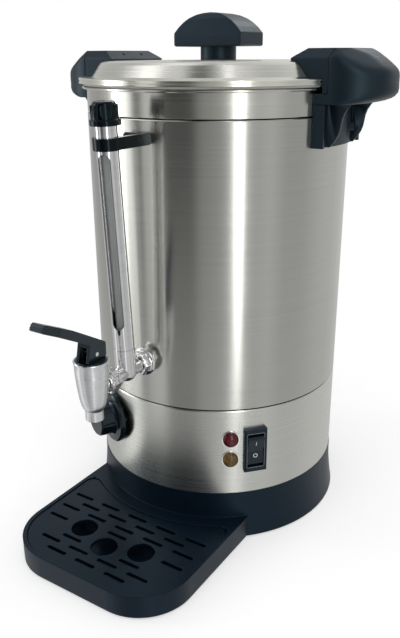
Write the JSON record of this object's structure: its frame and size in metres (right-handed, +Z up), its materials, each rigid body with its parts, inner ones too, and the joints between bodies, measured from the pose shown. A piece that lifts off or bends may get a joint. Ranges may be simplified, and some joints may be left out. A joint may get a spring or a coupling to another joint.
{
  "type": "hot water urn",
  "caption": "Electric hot water urn with a steel jacket, domed lid with ears and knob, side handles, sight tube, lever tap, drip tray, thermostat dial, lamps and rocker switch.",
  "frame": {"origin": "centre of the urn's body on the plane of the counter", "axes": "+Z up along the body's axis, -Y to the front where the tap is, handles at +X and -X"},
  "size_m": [0.312, 0.3521, 0.437],
  "materials": {
    "amber_plastic": "gloss",
    "black_plastic": "satin",
    "brass": "satin",
    "brushed_steel": "brushed",
    "chrome": "polished",
    "dark_plastic": "matte",
    "glass": "clear",
    "gloss_black": "gloss",
    "heater_aluminium": "cast",
    "pale_plastic": "matte",
    "plated_steel": "zinc plated",
    "polished_steel": "fine brushed",
    "red_plastic": "gloss",
    "rubber": "matte",
    "silicone": "matte"
  },
  "bodies": {
    "urn": {"base_ring": "black_plastic", "bottom_plate": "plated_steel", "bottom_screws": "plated_steel", "rubber_feet": "rubber", "base_shell": "polished_steel", "ring_screws": "plated_steel", "outer_jacket": "brushed_steel", "tank": "polished_steel", "tank_nuts": "plated_steel", "heater_plate": "heater_aluminium", "heating_element": "brushed_steel", "keep_warm_element": "brushed_steel", "thermal_cutout": "dark_plastic", "thermostat": "pale_plastic", "thermostat_screws": "plated_steel", "thermostat_bulb": "brass", "red_lens": "red_plastic", "amber_lens": "amber_plastic", "lamp_holders": "pale_plastic", "switch_housing": "dark_plastic", "power_inlet": "dark_plastic", "inlet_pins": "brass", "inlet_screws": "plated_steel", "terminal_block": "pale_plastic", "tap_shank": "chrome", "shank_flange": "chrome", "shank_washers": "silicone", "shank_nut": "plated_steel", "union_nut": "chrome", "tap_body": "chrome", "tap_bonnet": "black_plastic", "tap_spring": "plated_steel", "guard_tube": "chrome", "sight_glass": "glass", "sight_seals": "silicone", "sight_cap": "black_plastic", "sight_clip": "black_plastic", "clip_screw": "plated_steel", "handle_left": "black_plastic", "handle_right": "black_plastic", "handle_screws": "plated_steel"},
    "lid_seal": {"lid_gasket": "silicone"},
    "lid": {"lid_shell": "polished_steel", "lid_ear_left": "black_plastic", "lid_ear_right": "black_plastic", "ear_screws": "plated_steel", "lid_knob": "black_plastic", "knob_screw": "plated_steel"},
    "grid": {"drip_grid": "black_plastic"},
    "valve": {"tap_stem": "plated_steel", "seat_cup": "silicone"},
    "lever": {"tap_lever": "black_plastic", "lever_pin": "chrome"},
    "knob": {"thermostat_knob": "black_plastic", "thermostat_shaft": "plated_steel"},
    "rocker": {"switch_rocker": "gloss_black"}
  },
  "joints": [
    {"name": "lid_lift", "type": "slide", "parent": "urn", "child": "lid_seal", "axis": [0, 0, 1], "range_m": [0, 0.12]},
    {"name": "lid_turn", "type": "hinge", "parent": "lid_seal", "child": "lid", "pos_m": [0, 0, 0.383], "axis": [0, 0, 1], "continuous": true},
    {"name": "drip_grid_lift", "type": "slide", "parent": "urn", "child": "grid", "axis": [0, 0, 1], "range_m": [0, 0.05]},
    {"name": "tap_stem_lift", "type": "slide", "parent": "urn", "child": "valve", "axis": [0, 0, 1], "range_m": [0, 0.0039], "deforming": ["tap_spring"]},
    {"name": "tap_lever_tilt", "type": "hinge", "parent": "valve", "child": "lever", "pos_m": [0, -0.1815, 0.1968], "axis": [1, 0, 0], "range_deg": [0, 25], "stiffness_Nm_per_rad": 0.062, "springref_deg": -25.78},
    {"name": "thermostat_turn", "type": "hinge", "parent": "urn", "child": "knob", "pos_m": [-0.04733, -0.10151, 0.095], "axis": [0.4226, 0.9063, 0], "range_deg": [0, 270]},
    {"name": "rocker_tilt", "type": "hinge", "parent": "urn", "child": "rocker", "pos_m": [0.08026, -0.07227, 0.0873], "axis": [-0.6691, -0.7431, 0], "range_deg": [0, 14]}
  ],
  "couplings": [
    {"joint": "tap_stem_lift", "follows": "tap_lever_tilt", "m_per_rad": 0.0088}
  ]
}
